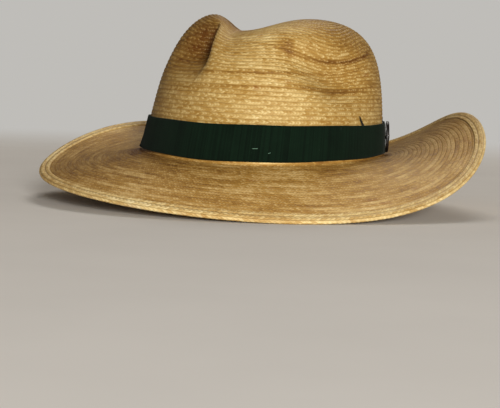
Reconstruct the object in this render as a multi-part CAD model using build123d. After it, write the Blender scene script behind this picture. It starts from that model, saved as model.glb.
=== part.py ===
"""Sewn-braid straw hat with a pinched crown, snapped brim, ribbon band and side button.

Millimetres. +Z up, the wearer looks along -Y, the wearer's left is +X.
The origin is the centre of the head opening, level with the crown and brim break.
"""

import os
from math import cos, exp, hypot, pi, radians, sin, sqrt, tan

from build123d import *

# ---- head oval and straw ----
OVAL_A = 84.5          # half width of the crown's foot, outside
OVAL_B = 106.5         # half length of the crown's foot, outside
STRAW = 1.8            # thickness of the sewn braid
SADDLE = 2.6           # the foot dips front and back, rises at the sides
SEAM_Z = 8.0           # height of the crown to brim seam, under the ribbon
SEAM_GAP = 0.04        # gap left between the two sewn edges

# ---- crown ----
CROWN_H = 99.5         # height of the open crown before creasing
CROWN_N = 4.33         # squareness of the shoulder
TAPER = 0.145          # share of the width lost over the height
LEAN = 0.094           # sideways lean per millimetre of height
TILT = 0.072           # the top falls towards the wearer's left
CREASE_DEPTH = 14.0    # centre crease
CREASE_X = -15.2
CREASE_WIDE = 33.0     # spread towards the wearer's left
CREASE_NARROW = 13.0   # spread towards the wearer's right
CREASE_FRONT = -90.0   # the crease is deepest between these two ends
CREASE_BACK = 75.0
CREASE_ENDS = 0.45     # share of the depth kept past the ends

# front pinches: azimuth, height, depth, spread in, spread out, spread up, spread down, rise, slant
PINCH_RIGHT = (-46.0, 70.0, 21.0, 10.0, 32.0, 21.0, 12.0, 0.1, 0.35)
PINCH_LEFT = (40.0, 55.0, 12.0, 34.0, 36.0, 14.0, 15.0, 0.4, 0.0)

# ---- brim ----
BRIM_W = 70.0          # width along the straw, from the break to the edge
BREAK_R = 2.0          # radius of the break between crown and brim
# mean slope and added curl of the brim in degrees: 1, cos, sin, cos 2, sin 2, ...
BRIM_SLOPE = (-1.3, -18.7, 7.3, -7.3, -0.2, 4.2, -7.1, -0.1, 2.1)
BRIM_CURL = (9.6, -18.2, 7.7, -4.7, -2.1)

# ---- edge braid and wire ----
EDGE_LAP = 5.0         # how far the folded edge braid laps over the brim
EDGE_LEAF = 0.7        # thickness of each leaf
EDGE_SLOT = 1.08       # half height of the slot between the leaves
WIRE_R = 0.6
WIRE_U = 0.93          # wire centre past the brim's edge
WIRE_GAP = 1.0
SLEEVE_R = 0.88
SLEEVE_BORE = 0.64
SLEEVE_L = 20.0

# ---- ribbon band ----
BAND_LOW, BAND_HIGH = 1.8, 24.0
BAND_IN, BAND_OUT = 0.5, 1.4
KEEPER_LOW, KEEPER_HIGH = 2.0, 25.6
KEEPER_IN, KEEPER_OUT = 1.45, 1.95
KEEPER_W = 15.0
TACK_R = 0.3
TACK_GAP = 0.12

# ---- side button ----
BUTTON_PHI = 93.0
BUTTON_LEVEL = 14.0
BUTTON_BASE = 2.65     # back of the button, out from the crown
RIM_R, RIM_BORE, RIM_T = 11.0, 8.25, 1.8
DOME_R, DOME_LIP, DOME_RISE = 8.15, 0.7, 1.9
POST_R = 1.5
POST_CLEAR = 0.05
POST_END = -3.0
WASHER_R, WASHER_T, WASHER_AT = 4.0, 0.8, -2.1

# ---- sweatband ----
SWEAT_LOW, SWEAT_HIGH = 1.0, 29.0
SWEAT_OUT, SWEAT_IN = -3.5, -4.3
SWEAT_GAP = 2.0
REED_R = 1.1
REED_OFF = -3.15
REED_LEVEL = -0.4
STITCH_LEVEL = 4.0
STITCH_COUNT = 84
STITCH_R, STITCH_L = 0.25, 3.2
TAPE_W = 16.0
TAPE_LOW, TAPE_HIGH = 2.0, 28.0
BOW_LEVEL = 11.0
BOW_LOOP = 10.0
BOW_T = 1.2
TAB_PHI = 152.0
TAB_LEVEL = 24.0
TAB_W, TAB_H, TAB_T = 18.0, 13.0, 0.4

RING_SMOOTH = 72       # points around rings that have no pinch
RING_FINE = 120        # points around the pinched crown


def fourier(phi, c):
    """Sum of c0 + c1 cos + c2 sin + c3 cos 2 + c4 sin 2 ..."""
    total = c[0]
    for i in range(1, len(c)):
        k = (i + 1) // 2
        total += c[i] * (cos(k * phi) if i % 2 else sin(k * phi))
    return total


def smooth(x):
    """Smooth step from 0 to 1."""
    x = min(max(x, 0.0), 1.0)
    return x * x * (3 - 2 * x)


def oval(phi):
    """Point and outward normal of the head oval; 0 is the front, +90 the wearer's left."""
    nx = OVAL_B * sin(phi)
    ny = -OVAL_A * cos(phi)
    n = hypot(nx, ny)
    return OVAL_A * sin(phi), -OVAL_B * cos(phi), nx / n, ny / n


def saddle(phi):
    return -SADDLE * cos(2 * phi)


def open_crown(phi, g0, level):
    """Point of the crown before creasing."""
    share = level / CROWN_H
    g = g0 * (1 - TAPER * share)
    x0, y0, _, _ = oval(phi)
    x = x0 * g + LEAN * level
    z = level + saddle(phi) * (1 - share) ** 2 - TILT * x * share**2
    return x, y0 * g, z


def wall(phi, level, off=0.0):
    """Point on the lower crown wall, moved out along the oval's normal."""
    g0 = (1 - max(level / CROWN_H, 0.0) ** CROWN_N) ** (1 / CROWN_N)
    x, y, z = open_crown(phi, g0, level)
    _, _, nx, ny = oval(phi)
    return x + off * nx, y + off * ny, z


def crease(x, y, z):
    """Depth of the centre crease."""
    width = CREASE_WIDE if x > CREASE_X else CREASE_NARROW
    run = smooth((y - CREASE_FRONT) / 45) * smooth((CREASE_BACK - y) / 60)
    depth = CREASE_DEPTH * exp(-(((x - CREASE_X) / width) ** 2))
    return depth * smooth((z - 50) / 35) * (CREASE_ENDS + (1 - CREASE_ENDS) * run)


def pinch(x, y, z, p):
    """Inward push of one front pinch."""
    azimuth, height, depth, s_in, s_out, s_up, s_down, rise, slant = p
    ox, oy, nx, ny = oval(radians(azimuth))
    ox += LEAN * height
    side = 1 if azimuth < 0 else -1
    s = side * ((oy - y) * -nx + (x - ox) * -ny) + slant * (z - height)
    back = (ox - x) * nx + (oy - y) * ny
    centre = height + rise * (0.5 * (s + sqrt(s * s + 144)) - 6)
    across = s / (s_in if s > 0 else s_out)
    along = (z - centre) / (s_up if z > centre else s_down)
    w = depth * exp(-across * across - along * along) * smooth(1 - (back - 18) / 50)
    return -w * nx, -w * ny


def crown_point(phi, g0, level):
    """Outer surface of the creased crown."""
    x, y, z = open_crown(phi, g0, level)
    ax, ay = pinch(x, y, z, PINCH_RIGHT)
    bx, by = pinch(x, y, z, PINCH_LEFT)
    return Vector(x + ax + bx, y + ay + by, z - crease(x, y, z))


def crown_level(t):
    """Share of the plan size and level at t: 0 at the seam, 1 at the shoulder, 2 at the tip."""
    knee = 0.5 ** (1 / CROWN_N)
    if t <= 1:
        share = SEAM_Z / CROWN_H + (knee - SEAM_Z / CROWN_H) * t
        return (1 - share**CROWN_N) ** (1 / CROWN_N), share * CROWN_H
    g0 = knee * (2 - t)
    return g0, CROWN_H * (1 - g0**CROWN_N) ** (1 / CROWN_N)


def crown_normal(phi, t):
    """Outward unit normal of the creased crown."""
    h = 0.004
    a = crown_point(phi + h, *crown_level(t)) - crown_point(phi - h, *crown_level(t))
    b = crown_point(phi, *crown_level(t + h)) - crown_point(phi, *crown_level(t - h))
    return a.cross(b).normalized()


def brim_point(phi, s, off):
    """Brim surface. s from -1 to 0 runs down the collar, to 1 round the break, to 2 to the edge."""
    mean = radians(fourier(phi, BRIM_SLOPE))
    curl = radians(fourier(phi, BRIM_CURL))
    start = mean - curl / 2
    foot = BREAK_R * (1 + sin(start))
    centre = saddle(phi) + BREAK_R * cos(start) + tan(start) * foot
    if s < 0:
        top = SEAM_Z - SEAM_GAP
        level = top - saddle(phi) * (1 - top / CROWN_H) ** 2
        low = centre - saddle(phi)
        x, y, z = wall(phi, low + (level - low) * -s, -off)
        return x, y, top if s == -1 else z
    if s <= 1:
        heading = -pi / 2 + (start + pi / 2) * s
        r = BREAK_R * (1 + sin(heading))
        z = centre - BREAK_R * cos(heading)
    else:
        width = (BRIM_W - foot / cos(start)) * (s - 1)
        r = foot
        z = centre - BREAK_R * cos(start)
        steps = 16
        for i in range(steps):
            a = start + curl * (s - 1) * (i + 0.5) / steps
            r += cos(a) * width / steps
            z += sin(a) * width / steps
        heading = start + curl * (s - 1)
    r += off * sin(heading)
    z -= off * cos(heading)
    x, y, nx, ny = oval(phi)
    return x + r * nx, y + r * ny, z


def edge_point(phi, u, w):
    """Point near the brim's edge: u out past the edge, w up from the middle of the straw."""
    x, y, z = brim_point(phi, 2, STRAW / 2)
    a = radians(fourier(phi, BRIM_SLOPE) + fourier(phi, BRIM_CURL) / 2)
    _, _, nx, ny = oval(phi)
    r = u * cos(a) - w * sin(a)
    return x + r * nx, y + r * ny, z + u * sin(a) + w * cos(a)


def ring(point, count=RING_SMOOTH):
    """Closed smooth wire through points of a function of azimuth."""
    pts = [Vector(*point(2 * pi * i / count - pi)) for i in range(count)]
    steps = [i / count for i in range(count + 1)]
    return Wire([Edge.make_spline(pts, periodic=True, parameters=steps)])


def ruled_body(corners, count=RING_SMOOTH):
    """Closed ring whose section is the polygon through the corner functions."""
    rings = [ring(c, count) for c in corners]
    faces = []
    for i, one in enumerate(rings):
        faces += Shell.make_loft([one, rings[(i + 1) % len(rings)]], ruled=True).faces()
    return solid_of(faces)


def solid_of(faces):
    body = Solid(Shell(faces))
    return body if body.volume > 0 else Solid(Shell([-f for f in faces]))


def wall_ring(low, high, inner, outer):
    """Band that follows the lower crown wall."""
    corners = [(low, outer), (high, outer), (high, inner), (low, inner)]
    return ruled_body([lambda p, c=c: wall(p, c[0], c[1]) for c in corners])


def round_ring(point, radius, sides=10):
    """Closed ring of round section about a function giving centre offsets."""
    corners = []
    for i in range(sides):
        a = 2 * pi * (i + 0.5) / sides
        corners.append(lambda p, a=a: point(p, radius * cos(a), radius * sin(a)))
    return ruled_body(corners)


def wall_plane(phi_deg, level, off=0.0):
    """Plane on the wall: x along the oval, y up, z outwards and level."""
    phi = radians(phi_deg)
    _, _, nx, ny = oval(phi)
    return Plane(origin=wall(phi, level, off), x_dir=(-ny, nx, 0), z_dir=(nx, ny, 0))


def leaning_plane(phi_deg, level):
    """As wall_plane, but lying in the sloping wall."""
    phi = radians(phi_deg)
    _, _, nx, ny = oval(phi)
    up = Vector(*wall(phi, level + 1)) - Vector(*wall(phi, level - 1))
    side = Vector(-ny, nx, 0)
    return Plane(origin=wall(phi, level), x_dir=side, z_dir=side.cross(up).normalized())


def save(shape, name):
    export_step(shape, f"parts/{name}.step")


os.makedirs("parts", exist_ok=True)

# ---- button axis, shared by every hole the post passes ----
button = wall_plane(BUTTON_PHI, BUTTON_LEVEL)


def on_button(u):
    return Plane(origin=button.origin + button.z_dir * u, x_dir=button.x_dir, z_dir=button.z_dir)


post_hole = extrude(on_button(-12) * Circle(POST_R + POST_CLEAR), amount=24)

# ---- crown: outer skin, inner skin and the flat sewn edge ----
# t of each ring above the seam, up the wall to the shoulder and over it to the tip
CROWN_STEPS = [i / 14 for i in range(1, 15)] + [1 + i / 13 for i in range(1, 13)] + [1.96]
# which rings each lofted stretch of the wall runs through; the last ring of one starts the next
CROWN_STRETCHES = (slice(0, 5), slice(4, 8), slice(7, 11), slice(10, 15))


def seam_point(phi, off):
    level = SEAM_Z - saddle(phi) * (1 - SEAM_Z / CROWN_H) ** 2
    x, y, _ = wall(phi, level, off)
    return x, y, SEAM_Z


def outer_skin(phi, t):
    p = crown_point(phi, *crown_level(t))
    return p.X, p.Y, p.Z


def inner_skin(phi, t):
    p = crown_point(phi, *crown_level(t)) - crown_normal(phi, t) * STRAW
    return p.X, p.Y, p.Z


def skin_faces(rings, top):
    """One skin, lofted in short stretches so that a pinch doesn't disturb the straw below it."""
    faces = []
    for stretch in CROWN_STRETCHES:
        faces += Shell.make_loft(rings[stretch]).faces()
    return faces + Shell.make_loft(rings[CROWN_STRETCHES[-1].stop - 1:] + [Vertex(*top)]).faces()


outer_rings = [ring(lambda p: seam_point(p, 0), RING_FINE)]
inner_rings = [ring(lambda p: seam_point(p, -STRAW), RING_FINE)]
for step in CROWN_STEPS:
    outer_rings.append(ring(lambda p, t=step: outer_skin(p, t), RING_FINE))
    inner_rings.append(ring(lambda p, t=step: inner_skin(p, t), RING_FINE))
tip = crown_point(0, *crown_level(2))
crown_faces = skin_faces(outer_rings, tip) + skin_faces(inner_rings, tip - Vector(0, 0, STRAW))
crown_faces += Shell.make_loft([outer_rings[0], inner_rings[0]], ruled=True).faces()
crown = solid_of(crown_faces) - post_hole
save(crown, "crown")

# ---- brim with its short collar ----
COLLAR_STEPS = [-1, 0]
BREAK_STEPS = [0, 0.25, 0.5, 0.75, 1]
SPREAD_STEPS = [1 + i / 8 for i in range(9)]
brim_faces = []
for skin in (0, STRAW):
    for steps in (COLLAR_STEPS, BREAK_STEPS, SPREAD_STEPS):
        rings = [ring(lambda p, s=s: brim_point(p, s, skin)) for s in steps]
        brim_faces += Shell.make_loft(rings, ruled=len(rings) == 2).faces()
for end in (-1, 2):
    rings = [ring(lambda p, k=k: brim_point(p, end, k)) for k in (0, STRAW)]
    brim_faces += Shell.make_loft(rings, ruled=True).faces()
save(solid_of(brim_faces), "brim")

# ---- folded edge braid, wire in the fold, sleeve on the wire's ends at the back ----
fold = 2 * WIRE_U
outer_h = EDGE_SLOT + EDGE_LEAF
edge_section = [
    (-EDGE_LAP, EDGE_SLOT),
    (-EDGE_LAP + 0.4, outer_h),
    (fold * 0.55, outer_h),
    (fold + EDGE_LEAF * 0.75, outer_h * 0.6),
    (fold + EDGE_LEAF, 0),
    (fold + EDGE_LEAF * 0.75, -outer_h * 0.6),
    (fold * 0.55, -outer_h),
    (-EDGE_LAP + 0.4, -outer_h),
    (-EDGE_LAP, -EDGE_SLOT),
    (fold, -EDGE_SLOT),
    (fold, EDGE_SLOT),
]
save(ruled_body([lambda p, c=c: edge_point(p, *c) for c in edge_section]), "edge_braid")

wire = round_ring(lambda p, a, b: edge_point(p, WIRE_U + a, b), WIRE_R)
back_edge = Vector(*edge_point(pi, WIRE_U, 0))
wire -= Pos(back_edge) * Box(WIRE_GAP, 12, 12)
save(wire, "brim_wire")

sleeve = round_ring(lambda p, a, b: edge_point(p, WIRE_U + a, b), SLEEVE_R)
sleeve -= round_ring(lambda p, a, b: edge_point(p, WIRE_U + a, b), SLEEVE_BORE)
save(sleeve & (Pos(back_edge) * Box(SLEEVE_L, 12, 12)), "wire_sleeve")

# ---- ribbon band, with its ends meeting under the keeper ----
keeper_plane = wall_plane(BUTTON_PHI, (KEEPER_LOW + KEEPER_HIGH) / 2)
band = wall_ring(BAND_LOW, BAND_HIGH, BAND_IN, BAND_OUT)
band -= keeper_plane * Box(0.6, 60, 12)
save(band - post_hole, "hatband")

keeper = wall_ring(KEEPER_LOW, KEEPER_HIGH, KEEPER_IN, KEEPER_OUT)
keeper &= keeper_plane * Box(KEEPER_W, 60, 12)
save(keeper - post_hole, "band_keeper")

# azimuth, level, length, turn from level: two loose ones at the front, the rest on the top edge
TACKS = [(1.0, 10.0, 4.0, 0), (7.4, 7.5, 1.6, 20)]
TACKS += [(a, BAND_HIGH - 2.6, 2.4, 90) for a in (-150, -110, -60, 40, 70, 130, 165)]
tacks = []
for azimuth, level, length, turn in TACKS:
    at = leaning_plane(azimuth, level) * Pos(0, 0, BAND_OUT + TACK_R + TACK_GAP)
    tacks.append(at * Rot(0, 0, turn) * Rot(0, 90, 0) * Cylinder(TACK_R, length))
save(Compound(children=tacks), "band_tacks")

# ---- dark quill tips tucked behind the ribbon: azimuth, reach above it, lean, width ----
quills = []
for azimuth, reach, lean, width in ((56.0, 8.0, 42, 2.2), (84.0, 5.0, -6, 1.7)):
    at = leaning_plane(azimuth, BAND_HIGH)
    blade = Polyline((-width / 2, -5), (width / 2, -5), (width / 2, 0), (0.1, reach),
                     (-0.1, reach), (-width / 2, 0), close=True)
    quills.append(at * Rot(0, 0, lean) * (Pos(0, 0, 0.12) * extrude(make_face(blade), 0.2)))
save(Compound(children=quills), "quill_tips")

# ---- side button: rim, dome, post and the washer inside the crown ----
rim = extrude(on_button(BUTTON_BASE) * Circle(RIM_R), RIM_T)
rim -= extrude(on_button(BUTTON_BASE) * Circle(RIM_BORE), RIM_T)
rim_axis = Axis(button.origin, button.z_dir)
rim = fillet(rim.edges().filter_by(GeomType.CIRCLE).sort_by(rim_axis)[-2:], 0.9)
save(rim, "button_rim")

ball = (DOME_R**2 + DOME_RISE**2) / (2 * DOME_RISE)
dome = extrude(on_button(BUTTON_BASE) * Circle(DOME_R), DOME_LIP + DOME_RISE + 1)
cap = on_button(BUTTON_BASE + DOME_LIP + DOME_RISE - ball) * Sphere(ball)
save(dome & cap, "button_dome")

save(extrude(on_button(POST_END) * Circle(POST_R), BUTTON_BASE - POST_END), "button_post")

washer = extrude(on_button(WASHER_AT - WASHER_T) * Circle(WASHER_R), WASHER_T)
washer -= extrude(on_button(WASHER_AT - WASHER_T) * Circle(POST_R + 0.02), WASHER_T)
save(washer, "button_washer")

# ---- sweatband, open at the back under a tape, on a round reed ----
sweat = wall_ring(SWEAT_LOW, SWEAT_HIGH, SWEAT_IN, SWEAT_OUT)
sweat -= Pos(0, OVAL_B, 15) * Box(SWEAT_GAP, 30, 60)
save(sweat, "sweatband")

save(round_ring(lambda p, a, b: wall(p, REED_LEVEL + b, REED_OFF + a), REED_R), "sweatband_reed")

tape = wall_ring(TAPE_LOW, TAPE_HIGH, SWEAT_IN - 0.55, SWEAT_IN - 0.05)
save(tape & (Pos(0, OVAL_B, 15) * Box(TAPE_W, 30, 60)), "sweatband_tape")

stitches = []
for i in range(STITCH_COUNT):
    azimuth = 360 * (i + 0.5) / STITCH_COUNT - 180
    if 180 - abs(azimuth) > 10:
        at = wall_plane(azimuth, STITCH_LEVEL, SWEAT_IN - STITCH_R - 0.06)
        stitches.append(at * Rot(0, 90, 0) * Cylinder(STITCH_R, STITCH_L))
save(Compound(children=stitches), "sweatband_stitches")

# ---- small bow on the tape at the back ----
bow = wall_plane(180, BOW_LEVEL, SWEAT_IN - 0.6)
loops = []
for side in (-1, 1):
    outline = Spline((side * 1.6, 0.9), (side * BOW_LOOP * 0.7, 3.1), (side * BOW_LOOP, 0),
                     (side * BOW_LOOP * 0.7, -3.1), (side * 1.6, -0.9))
    lobe = make_face([outline, Line((side * 1.6, -0.9), (side * 1.6, 0.9))])
    loops.append(bow * Pos(0, 0, -1.2 - BOW_T) * extrude(lobe, BOW_T))
save(Compound(children=loops), "bow_loops")
save(bow * Pos(0, 0, -1.7) * Box(3.0, 4.0, 2.2), "bow_knot")

# ---- size tab, hanging plumb from its sewn top edge ----
tab = wall_plane(TAB_PHI, TAB_LEVEL, SWEAT_IN - 0.9)
save(tab * Pos(0, -TAB_H / 2, -TAB_T / 2) * Box(TAB_W, TAB_H, TAB_T), "size_tab")
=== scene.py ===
"""Looks of the sewn-braid straw hat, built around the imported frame.

The wearer looks along -Y and the wearer's left is +X. Shape functions work in millimetres and
azimuths in radians, 0 at the front and positive towards the wearer's left; meshes are in metres.
"""

from math import cos, pi, radians, sin

import bpy
import numpy as np
from mathutils import Matrix, Vector


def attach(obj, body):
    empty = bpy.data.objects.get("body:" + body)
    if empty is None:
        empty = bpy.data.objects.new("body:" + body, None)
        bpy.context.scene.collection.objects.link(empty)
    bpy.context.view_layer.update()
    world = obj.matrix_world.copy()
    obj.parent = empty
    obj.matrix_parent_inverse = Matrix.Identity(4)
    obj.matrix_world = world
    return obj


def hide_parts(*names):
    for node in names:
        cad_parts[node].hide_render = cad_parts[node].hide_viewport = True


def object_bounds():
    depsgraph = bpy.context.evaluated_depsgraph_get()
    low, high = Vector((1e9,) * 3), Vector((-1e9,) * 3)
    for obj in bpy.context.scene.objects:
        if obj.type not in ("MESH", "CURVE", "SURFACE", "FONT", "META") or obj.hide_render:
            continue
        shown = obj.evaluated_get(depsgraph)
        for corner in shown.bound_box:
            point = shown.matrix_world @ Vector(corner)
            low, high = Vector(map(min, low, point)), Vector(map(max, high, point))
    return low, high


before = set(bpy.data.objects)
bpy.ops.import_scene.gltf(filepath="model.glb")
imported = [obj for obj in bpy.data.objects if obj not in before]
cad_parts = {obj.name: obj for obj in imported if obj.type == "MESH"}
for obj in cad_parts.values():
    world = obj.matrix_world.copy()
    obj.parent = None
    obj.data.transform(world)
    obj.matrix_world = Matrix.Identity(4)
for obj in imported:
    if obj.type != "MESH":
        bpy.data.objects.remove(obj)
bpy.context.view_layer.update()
scene = bpy.context.scene
MM = 0.001

# ---- the hat's shape, as in the CAD part ----
OVAL_A, OVAL_B, STRAW, SADDLE, SEAM_Z = 84.5, 106.5, 1.8, 2.6, 8.0
CROWN_H, CROWN_N, TAPER, LEAN, TILT = 99.5, 4.33, 0.145, 0.094, 0.072
CREASE_DEPTH, CREASE_X, CREASE_WIDE, CREASE_NARROW = 14.0, -15.2, 33.0, 13.0
CREASE_FRONT, CREASE_BACK, CREASE_ENDS = -90.0, 75.0, 0.45
# each pinch: azimuth in degrees, height, depth, reach to the front, to the back, up and down, how its middle
# rises to one side, and how it slants
PINCH_RIGHT = (-46.0, 70.0, 21.0, 10.0, 32.0, 21.0, 12.0, 0.1, 0.35)
PINCH_LEFT = (40.0, 55.0, 12.0, 34.0, 36.0, 14.0, 15.0, 0.4, 0.0)
BRIM_W, BREAK_R = 70.0, 2.0
# degrees, as the terms that fourier() adds up
BRIM_SLOPE = (-1.3, -18.7, 7.3, -7.3, -0.2, 4.2, -7.1, -0.1, 2.1)
BRIM_CURL = (9.6, -18.2, 7.7, -4.7, -2.1)
EDGE_LAP, EDGE_SLOT, EDGE_LEAF, WIRE_U = 5.0, 1.08, 0.7, 0.93
BAND_LOW, BAND_HIGH, BAND_IN, BAND_OUT = 1.8, 24.0, 0.5, 1.4
KEEPER_LOW, KEEPER_HIGH, KEEPER_IN, KEEPER_OUT, KEEPER_W = 2.0, 25.6, 1.45, 1.95, 15.0
BUTTON_PHI = 93.0
SWEAT_LOW, SWEAT_HIGH, SWEAT_OUT, SWEAT_IN = 1.0, 29.0, -3.5, -4.3
REED_R, REED_OFF, REED_LEVEL = 1.1, -3.15, -0.4
STITCH_LEVEL, STITCH_COUNT, STITCH_R, STITCH_L = 4.0, 84, 0.25, 3.2
TAPE_W, TAPE_LOW, TAPE_HIGH = 16.0, 2.0, 28.0
BOW_LEVEL, BOW_LOOP = 11.0, 10.0
TAB_PHI, TAB_LEVEL, TAB_W, TAB_H, TAB_T, TAB_HEM = 152.0, 24.0, 18.0, 13.0, 0.4, 1.2

# ---- the straw braid ----
ROW = 3.0  # width of one sewn row
PLAIT = 2.1  # length of one plait along a row
SLANT = 0.75  # how far the strands lean, in plaits
RIDGE = 0.34  # depth of the gap between two rows
STRAND = 0.10  # relief of the strands
SHINGLE = 0.16  # step from one row to the next
LIFT = 0.09  # how much higher one strand stands than another
# how rows sag over the dents: azimuth in degrees, depth, spread in degrees, run at the rim and run on
# from there to straight rows
ROW_SAGS = ((40.0, 13.0, 21.0, 76.0, 52.0), (-52.0, 7.0, 18.0, 80.0, 40.0))
# places across a row where the mesh has vertices: close together at the gap
ACROSS = np.array([0.0, 0.05, 0.15, 0.32, 0.52, 0.72, 0.9])
CENTRE_SAMPLE = 4  # the place nearest the middle of the row


def fourier(phi, c):
    """Sum of c0 + c1 cos + c2 sin + c3 cos 2 + c4 sin 2 ..."""
    total = np.full_like(phi, c[0])
    for i in range(1, len(c)):
        k = (i + 1) // 2
        total = total + c[i] * (np.cos(k * phi) if i % 2 else np.sin(k * phi))
    return total


def smooth(x):
    x = np.clip(x, 0.0, 1.0)
    return x * x * (3 - 2 * x)


def bell(x, centre, width):
    return np.exp(-(((x - centre) / width) ** 2))


def unit(v):
    return v / np.maximum(np.linalg.norm(v, axis=-1, keepdims=True), 1e-9)


def oval(phi):
    """Point and outward normal of the head oval."""
    nx, ny = OVAL_B * np.sin(phi), -OVAL_A * np.cos(phi)
    n = np.hypot(nx, ny)
    return OVAL_A * np.sin(phi), -OVAL_B * np.cos(phi), nx / n, ny / n


def saddle(phi):
    return -SADDLE * np.cos(2 * phi)


def open_crown(phi, g0, level):
    """Point of the crown before creasing."""
    share = level / CROWN_H
    g = g0 * (1 - TAPER * share)
    x0, y0, _, _ = oval(phi)
    x = x0 * g + LEAN * level
    return x, y0 * g, level + saddle(phi) * (1 - share) ** 2 - TILT * x * share**2


def wall(phi, level, off=0.0):
    """Point on the lower crown wall, moved out along the oval's normal."""
    phi, level, off = np.broadcast_arrays(*(np.asarray(a, float) for a in (phi, level, off)))
    g0 = (1 - np.maximum(level / CROWN_H, 0) ** CROWN_N) ** (1 / CROWN_N)
    x, y, z = open_crown(phi, g0, level)
    _, _, nx, ny = oval(phi)
    return np.stack([x + off * nx, y + off * ny, z], -1)


def crease(x, y, z):
    width = np.where(x > CREASE_X, CREASE_WIDE, CREASE_NARROW)
    run = smooth((y - CREASE_FRONT) / 45) * smooth((CREASE_BACK - y) / 60)
    depth = CREASE_DEPTH * np.exp(-(((x - CREASE_X) / width) ** 2))
    return depth * smooth((z - 50) / 35) * (CREASE_ENDS + (1 - CREASE_ENDS) * run)


def pinch(x, y, z, p):
    """Inward push of one front pinch."""
    azimuth, height, depth, s_in, s_out, s_up, s_down, rise, slant = p
    ox, oy, nx, ny = (float(v) for v in oval(np.float64(radians(azimuth))))
    ox += LEAN * height
    side = 1 if azimuth < 0 else -1
    s = side * ((oy - y) * -nx + (x - ox) * -ny) + slant * (z - height)
    back = (ox - x) * nx + (oy - y) * ny
    centre = height + rise * (0.5 * (s + np.sqrt(s * s + 144)) - 6)
    across = s / np.where(s > 0, s_in, s_out)
    along = (z - centre) / np.where(z > centre, s_up, s_down)
    w = depth * np.exp(-across * across - along * along) * smooth(1 - (back - 18) / 50)
    return -w * nx, -w * ny, across, along


def crown_level(t):
    """Share of the plan size and level at t: 0 at the seam, 1 at the shoulder, 2 at the tip."""
    knee = 0.5 ** (1 / CROWN_N)
    share = SEAM_Z / CROWN_H + (knee - SEAM_Z / CROWN_H) * np.minimum(t, 1)
    low = (1 - share**CROWN_N) ** (1 / CROWN_N)
    high = knee * (2 - np.maximum(t, 1))
    g0 = np.where(t <= 1, low, high)
    level = np.where(t <= 1, share * CROWN_H, CROWN_H * (1 - high**CROWN_N) ** (1 / CROWN_N))
    return g0, level


def crown_point(phi, t):
    """Outer surface of the creased crown."""
    x, y, z = open_crown(phi, *crown_level(t))
    ax, ay = pinch(x, y, z, PINCH_RIGHT)[:2]
    bx, by = pinch(x, y, z, PINCH_LEFT)[:2]
    return np.stack([x + ax + bx, y + ay + by, z - crease(x, y, z)], -1)


def crown_profile():
    """Mean distance from the tip along the open crown, as a table of distance against t."""
    t = np.linspace(2, 0, 600)
    phi = np.linspace(-pi, pi, 24, endpoint=False)
    p = np.stack(open_crown(phi[None, :], *(a[:, None] for a in crown_level(t))), -1)
    run = np.linalg.norm(np.diff(p, axis=0), axis=-1).mean(1)
    return np.concatenate([[0], np.cumsum(run)]), t


TIP_RUN, TIP_T = crown_profile()


def sag(phi, run):
    """Run on the open crown of a row that sags over a front dent, where the straw was pushed in."""
    for azimuth, depth, spread, rim, reach in ROW_SAGS:
        pull = bell(np.degrees(phi), azimuth, spread)
        run = run + depth * pull * smooth(run / rim) * (1 - smooth((run - rim) / reach))
    return run


def crown_surface(phi, run):
    """Point of the crown at a run from its tip."""
    return crown_point(phi, np.interp(sag(phi, run), TIP_RUN, TIP_T))


def brim_surface(phi, run, off=0.0):
    """Point of the brim at a run inwards from its edge, off down through the straw."""
    mean, curl = np.radians(fourier(phi, BRIM_SLOPE)), np.radians(fourier(phi, BRIM_CURL))
    start = mean - curl / 2
    foot = BREAK_R * (1 + np.sin(start))
    centre = saddle(phi) + BREAK_R * np.cos(start) + np.tan(start) * foot
    width = BRIM_W - foot / np.cos(start)
    arc = BREAK_R * (start + pi / 2)
    # the spread, an arc of its own
    q = np.clip(1 - run / width, 0, 1)
    bend = curl * q / 2
    chord = width * q * np.sinc(bend / pi)
    heading = start + curl * q
    r = foot + chord * np.cos(start + bend)
    z = centre - BREAK_R * np.cos(start) + chord * np.sin(start + bend)
    # the break, where brim turns up into crown
    turned = start - np.clip((run - width) / arc, 0, 1) * (start + pi / 2)
    on_break = run > width
    heading = np.where(on_break, turned, heading)
    r = np.where(on_break, BREAK_R * (1 + np.sin(turned)), r)
    z = np.where(on_break, centre - BREAK_R * np.cos(turned), z)
    r = r + off * np.sin(heading)
    z = z - off * np.cos(heading)
    # the collar goes on up the crown wall
    x, y, nx, ny = oval(phi)
    flat = np.stack([x + r * nx, y + r * ny, z], -1)
    up = np.maximum(run - width - arc, 0)
    collar = wall(phi, centre - saddle(phi) + up, -off)
    return np.where((up > 0)[..., None], collar, flat)


def edge_point(phi, u, w):
    """Point near the brim's edge: u out past the edge, w up from the middle of the straw."""
    p = brim_surface(phi, np.zeros_like(phi), STRAW / 2)
    a = np.radians(fourier(phi, BRIM_SLOPE) + fourier(phi, BRIM_CURL) / 2)
    _, _, nx, ny = oval(phi)
    r = u * np.cos(a) - w * np.sin(a)
    rise = u * np.sin(a) + w * np.cos(a)
    return p + np.stack(np.broadcast_arrays(r * nx, r * ny, rise), -1)


def wall_frame(phi_deg, level, off):
    """Axes and origin on the wall in mm: x along the oval, y up the wall, z outwards."""
    phi = np.float64(radians(phi_deg))
    at = wall(phi, level, off)
    up = unit(wall(phi, level + 1.0) - wall(phi, level - 1.0))
    _, _, nx, ny = oval(phi)
    side = np.array([-ny, nx, 0.0])
    return np.stack([side, up, np.cross(side, up)], 1), at


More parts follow.
